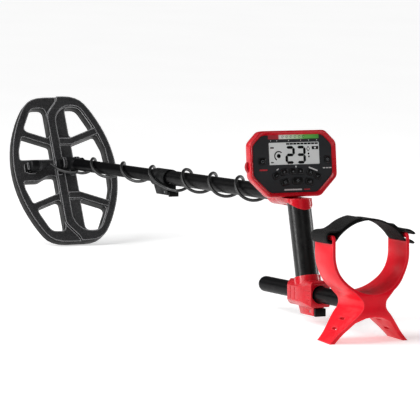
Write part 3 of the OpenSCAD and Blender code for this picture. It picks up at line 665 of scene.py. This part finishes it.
def plates(name, outlines, base, rise, place, body, material, uv_span=None):
    """Thin printed marks: each closed outline becomes a plate, rise high from base up.

    uv_span is the stretch in x that a material's U runs along.
    """
    bm = bmesh.new()
    uv = bm.loops.layers.uv.new("UVMap")
    for outline in outlines:
        low = [bm.verts.new(at(place, (x, y, base))) for x, y in outline]
        high = [bm.verts.new(at(place, (x, y, base + rise))) for x, y in outline]
        bm.faces.new(high)
        bm.faces.new(low[::-1])
        for k in range(len(outline)):
            m = (k + 1) % len(outline)
            bm.faces.new((low[k], low[m], high[m], high[k]))
        if uv_span:
            spot = {v: p for vs in (low, high) for v, p in zip(vs, outline)}
            for f in bm.faces:
                for loop in f.loops:
                    if loop.vert in spot:
                        x, y = spot[loop.vert]
                        loop[uv].uv = ((x - uv_span[0]) / (uv_span[1] - uv_span[0]), y)
    add_object(name, new_mesh(name, bm), body, material)


def bar(x0, y0, x1, y1, wide, taper=0.0):
    """A straight stroke with pointed or square ends."""
    a, b = Vector((x0, y0)), Vector((x1, y1))
    along = (b - a).normalized()
    side = Vector((-along.y, along.x)) * wide / 2
    t = along * taper
    if taper:
        pts = [a, a + t + side, b - t + side, b, b - t - side, a + t - side]
    else:
        pts = [a + side, b + side, b - side, a - side]
    return [(p.x, p.y) for p in pts]


def disc(x, y, r, n=20):
    """A disc of n sides."""
    return [(x + r * math.cos(2 * math.pi * k / n), y + r * math.sin(2 * math.pi * k / n))
            for k in range(n)]


def arc(x, y, r, wide, a0, a1, n=16):
    """A stroke along an arc from a0 to a1 degrees."""
    angles = [math.radians(a0 + (a1 - a0) * k / n) for k in range(n + 1)]
    outer, inner = ([(x + edge * math.cos(t), y + edge * math.sin(t)) for t in angles]
                    for edge in (r + wide / 2, r - wide / 2))
    return outer + inner[::-1]


def box_at(x, y, wide, high):
    """A rectangle by its middle."""
    return [(x - wide / 2, y - high / 2), (x + wide / 2, y - high / 2),
            (x + wide / 2, y + high / 2), (x - wide / 2, y + high / 2)]


DIGIT_WIDE, DIGIT_HIGH, DIGIT_STROKE, DIGIT_GAP = 11, 21, 3.9, 0.06


def digit(segments, x, y):
    """One seven-segment figure; x, y is its lower left corner."""
    gap = DIGIT_STROKE * DIGIT_GAP
    ends = {"a": (0, 2, 1, 2), "b": (1, 1, 1, 2), "c": (1, 0, 1, 1), "d": (0, 0, 1, 0),
            "e": (0, 0, 0, 1), "f": (0, 1, 0, 2), "g": (0, 1, 1, 1)}
    out = []
    for s in segments:
        x0, y0, x1, y1 = ends[s]
        a = Vector((x + x0 * DIGIT_WIDE, y + y0 * DIGIT_HIGH / 2))
        b = Vector((x + x1 * DIGIT_WIDE, y + y1 * DIGIT_HIGH / 2))
        d = (b - a).normalized() * gap
        a, b = a + d, b - d
        out.append(bar(a.x, a.y, b.x, b.y, DIGIT_STROKE, taper=DIGIT_STROKE / 2))
    return out


def make_face_marks():
    """The display's segments, the colour scale with its dots, and the face's print."""
    black = [box_at(-6.5 + 5.55 * i, 27.5, 4.9, 2.3) for i in range(9)]
    black += digit("abged", -8.8, 1.6) + digit("abgcd", 8.0, 1.6)
    black += [disc(-21, 11, 3.0), arc(-21, 11, 6.2, 1.7, 42, 238)]
    black += [box_at(-31, 22.5, 5.6, 2.0), box_at(-31, 2.2, 4.6, 1.1),
              [(-33.2, 2.2), (-31.4, 0.6), (-31.4, 3.8)]]
    black += [bar(24.9, 23.6, 22.6, 20.2, 0.8), bar(24.9, 23.6, 27.2, 20.2, 0.8),
              bar(22.6, 20.2, 24.9, 16.8, 0.8), bar(27.2, 20.2, 24.9, 16.8, 0.8),
              disc(25.3, 13.4, 1.4, 12), disc(25.7, 9.4, 1.3, 12)]
    black += [box_at(32.5, 21.4, 3.6, 4.4), box_at(39.0, 21.4, 3.4, 4.4),
              box_at(35.8, 23.1, 3.4, 1.0), box_at(35.8, 19.7, 3.4, 1.0)]
    plates("lcd_segments", black, LCD_TOP, 0.06, FACE, "main", MATS["print_black"])
    plates("scale_strip", [box_at(2.4, 37.4, 78.6, 6.2)], FACE_TOP, PRINT_RISE, FACE, "main",
           MATS["print_scale"], uv_span=(-37, 41.7))
    dots = [arc(x, 37.4, 1.5, 0.5, 0, 300, 12) for x in (-14, -7.6, -1.2, 5.2, 11.6, 18)]
    plates("scale_icons", dots, FACE_TOP + PRINT_RISE, 0.04, FACE, "main",
           MATS["print_black"])
    white = [[(x - 0.9, 32.9), (x + 0.9, 32.9), (x, 31.2)]
             for x in (-33, -23.5, -5, 13.5, 26, 38.5)]
    white += [[(3.3, -3.2), (6.1, -3.2), (4.7, -6.2)]]
    white += [bar(24.6, -5.6, 38.0, -10.6, 1.9), bar(-25.4, -8.4, -22.2, -6.6, 1.5)]
    white += [bar(46.5, -7, 50.3, -7, 1.4), bar(51.5, -7, 55.3, -7, 1.4),
              bar(56.5, -7, 60, -7, 1.4)]
    white += [bar(-15, -36, 13, -36, 2.0, taper=1.0)]
    plates("face_print", white, FACE_TOP, PRINT_RISE, FACE, "main", MATS["print_white"])
    plates("face_accent", [bar(15.5, -36, 25.5, -36, 1.6, taper=0.8),
                           bar(-52, -8, -39, -8, 2.2, taper=1.1)],
           FACE_TOP, PRINT_RISE, FACE, "main", MATS["print_red"])


make_face_marks()

# each key's middle on the face, in millimetres, and its turn in degrees
KEYS = (("power", -47, 4, 0), ("detect", 53.8, 4.5, 0), ("minus", -26, -16, 28),
        ("plus", -14, -11.3, 18), ("left", -0.6, -10.8, 0), ("right", 11, -10.8, 0),
        ("reject", 26.8, -12.6, -18), ("accept", 37.6, -18, -28), ("menu", -13, -25.4, 14),
        ("light", 6.5, -23.8, 0), ("frequency", 25, -25.4, -14))


def key_symbol(name):
    """The outlines of a key's plain symbol, about its middle."""
    tick = 0.55
    return {
        "power": [arc(0, 0, 1.9, tick, -235, 55), bar(0, 0.4, 0, 2.5, tick)],
        "detect": [arc(0, 0, 2.0, tick, 0, 359), disc(0, 0, 0.8, 12)],
        "minus": [bar(-1.7, 0, 1.7, 0, tick)],
        "plus": [bar(-1.7, 0, 1.7, 0, tick), bar(0, 0.3, 0, 1.7, tick),
                 bar(0, -1.7, 0, -0.3, tick)],
        "left": [[(1.2, -1.6), (1.2, 1.6), (-1.6, 0)]],
        "right": [[(-1.2, -1.6), (1.6, 0), (-1.2, 1.6)]],
        "reject": [bar(-1.5, -1.5, 1.5, 1.5, tick), bar(-1.5, 1.5, -0.3, 0.3, tick),
                   bar(0.3, -0.3, 1.5, -1.5, tick)],
        "accept": [bar(-1.7, 0.1, -0.4, -1.4, tick), bar(-0.5, -1.4, 1.8, 1.5, tick)],
        "menu": [bar(-2, y, 2, y, tick) for y in (-1.4, 0, 1.4)],
        "light": [arc(0, 0, 1.3, tick, 0, 359)]
        + [bar(2.2 * math.cos(a), 2.2 * math.sin(a), 3 * math.cos(a), 3 * math.sin(a), tick)
           for a in (k * math.pi / 3 for k in range(6))],
        "frequency": [bar(-2 + 1.3 * k, -1.5, -2 + 1.3 * k, -0.6 + 0.7 * k, 0.7)
                      for k in range(4)],
    }[name]


for name, u, v, lean in KEYS:
    place = FACE @ move(u, v, 0) @ turn(math.radians(lean), "Z")
    plates("mark_" + name, key_symbol(name), KEY_TOP, PRINT_RISE, place,
           "key_" + name + "_body", MATS["print_grey"])

# ---- Arm strap ----------------------------------------------------------------------------


STRAP_THICK, STRAP_STEP, STRAP_COLUMNS, STRAP_WAVE = 3.0, 1.2, 14, 0.25
ARCH_RISE, ARCH_HALF, ARCH_FOOT = 27.0, 50.5, 85


def ribbon(name, line, wide):
    """A webbing band along a line in the armrest's y-z plane, its width along x."""
    pts = spline([(0, y, z) for y, z in line], STRAP_STEP)
    across = STRAP_COLUMNS
    bm = bmesh.new()
    uv = bm.loops.layers.uv.new("UVMap")
    run, rows = 0.0, []
    for i, p in enumerate(pts):
        if i:
            run += (p - pts[i - 1]).length
        ahead = (pts[min(i + 1, len(pts) - 1)] - pts[max(i - 1, 0)]).normalized()
        out = Vector((0, -ahead.z, ahead.y))
        half = wide / 2 * (1 + 0.008 * math.sin(run * 0.21))
        ring = []
        for k in range(2 * across):
            side = 1 if k < across else -1
            t = (k if side > 0 else 2 * across - 1 - k) / (across - 1)
            x = half * (2 * t - 1)
            hem = 1.0 - 0.35 * max(0.0, (abs(2 * t - 1) - 0.93) / 0.07)
            lump = STRAP_WAVE * (math.sin(run * 0.13 + t * 2.1)
                                 + 0.6 * math.sin(run * 0.31 - t * 3.7))
            q = p + out * (side * STRAP_THICK / 2 * hem + lump * 0.35) + Vector((x, 0, 0))
            ring.append((bm.verts.new(at(ARM, q)), (run, x)))
        rows.append(ring)
    n = 2 * across
    for a, b in zip(rows, rows[1:]):
        for k in range(n):
            m = (k + 1) % n
            quad = (a[k], b[k], b[m], a[m])
            f = bm.faces.new([q[0] for q in quad])
            for loop, q in zip(f.loops, quad):
                loop[uv].uv = q[1]
    bm.faces.new([v for v, _ in rows[0]][::-1])
    bm.faces.new([v for v, _ in rows[-1]])
    obj = add_object(name, new_mesh(name, bm), "rear_shaft", MATS["strap_webbing"])
    smooth(obj, 50)
    return obj, run * MM


def arch(y, lift=0.0):
    """Height of the band over the cuff: an arc from slot to slot."""
    r = (ARCH_HALF * ARCH_HALF + ARCH_RISE * ARCH_RISE) / (2 * ARCH_RISE)
    return ARCH_FOOT + ARCH_RISE - r + math.sqrt((r + lift) ** 2 - y * y)


def make_strap():
    """The band through both slots of the armrest, and its loose tail."""
    line = [(12 + 5.5 * i, arch(12 + 5.5 * i, 4.2)) for i in range(6)]
    line += [(45.5, 99.6), (52, 98.6), (58, 98.4), (62.6, 96.2), (64.2, 91.5), (62.8, 86.2),
             (59, 84.2), (55, 84.2), (51.2, 86.2)]
    line += [(y, arch(y, 1.1)) for y in range(46, -47, -4)]
    line += [(-51.4, 86), (-55, 84.2), (-59.4, 83.9), (-63.4, 82.4), (-66.6, 79.6)]
    band, length = ribbon("arm_band", line, 44)
    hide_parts("arm_strap")
    end = [(-36, arch(-36, 4.2)), (-42, arch(-42, 4.4)), (-48.5, 97), (-54, 97.4), (-59.5, 97),
           (-64.4, 95), (-68.4, 91.8)]
    tail, length = ribbon("arm_band_tail", end, 42)


make_strap()

# ---- Stage --------------------------------------------------------------------------------

FLOOR_HALF = 30                         # metres
AIM_HEIGHT = 0.15                       # of the point that the area lights face, metres
# name, azimuth in degrees, distance and height, width and length in metres, power in watts
AREA_LIGHTS = (("left_box", 88, 2.1, 0.7, 0.4, 1.5, 19),
               ("right_box", 258, 1.9, 0.6, 0.25, 1.5, 14),
               ("far_box", 35, 1.9, 1.1, 0.8, 0.8, 4),
               ("front_box", 168, 2.6, 1.5, 1.2, 1.2, 2))


def make_floor():
    """A wide sheet of matt paper that glows faintly, so that it stays pale."""
    n = Nodes("floor_paper")
    n.link(n.ramp(n.noise(3.0), [(0.3, (0.80, 0.80, 0.80)), (0.7, (0.83, 0.83, 0.83))]),
           n.bsdf.inputs["Base Color"])
    n.bsdf.inputs["Emission Color"].default_value = (1, 1, 1, 1)
    n.bsdf.inputs["Emission Strength"].default_value = 0.5
    n.bsdf.inputs["Roughness"].default_value = 0.9
    n.bsdf.inputs["Specular IOR Level"].default_value = 0.1
    n.link(n.bump(n.noise(300.0), 0.05, 0.0001), n.bsdf.inputs["Normal"])
    mesh = bpy.data.meshes.new("floor")
    bm = bmesh.new()
    bmesh.ops.create_grid(bm, x_segments=8, y_segments=8, size=FLOOR_HALF)
    bm.to_mesh(mesh)
    bm.free()
    floor = bpy.data.objects.new("floor", mesh)
    mesh.materials.append(n.mat)
    bpy.context.scene.collection.objects.link(floor)


def make_lights():
    """A dim even sky, a wide soft sun from the user's left, and four area lights round about."""
    world = bpy.data.worlds.new("studio")
    world.use_nodes = True
    back = world.node_tree.nodes["Background"]
    back.inputs["Color"].default_value = (1, 1, 1, 1)
    back.inputs["Strength"].default_value = 0.13
    bpy.context.scene.world = world
    sun = bpy.data.lights.new("sky_panel", "SUN")
    sun.energy = 2.0
    sun.angle = math.radians(50)
    lamp = bpy.data.objects.new("sky_panel", sun)
    lamp.rotation_euler = Vector((0.05, 0.72, 0.69)).to_track_quat("Z", "Y").to_euler()
    bpy.context.scene.collection.objects.link(lamp)
    for name, azimuth, reach, high, wide, tall, power in AREA_LIGHTS:
        data = bpy.data.lights.new(name, "AREA")
        data.shape = "RECTANGLE"
        data.size, data.size_y = wide, tall
        data.energy = power
        lamp = bpy.data.objects.new(name, data)
        angle = math.radians(azimuth)
        lamp.location = (reach * math.cos(angle), reach * math.sin(angle), high)
        aim = Vector((0, 0, AIM_HEIGHT)) - Vector(lamp.location)
        lamp.rotation_euler = aim.to_track_quat("-Z", "Y").to_euler()
        bpy.context.scene.collection.objects.link(lamp)
    bpy.context.scene.view_settings.view_transform = "Standard"


make_floor()
make_lights()
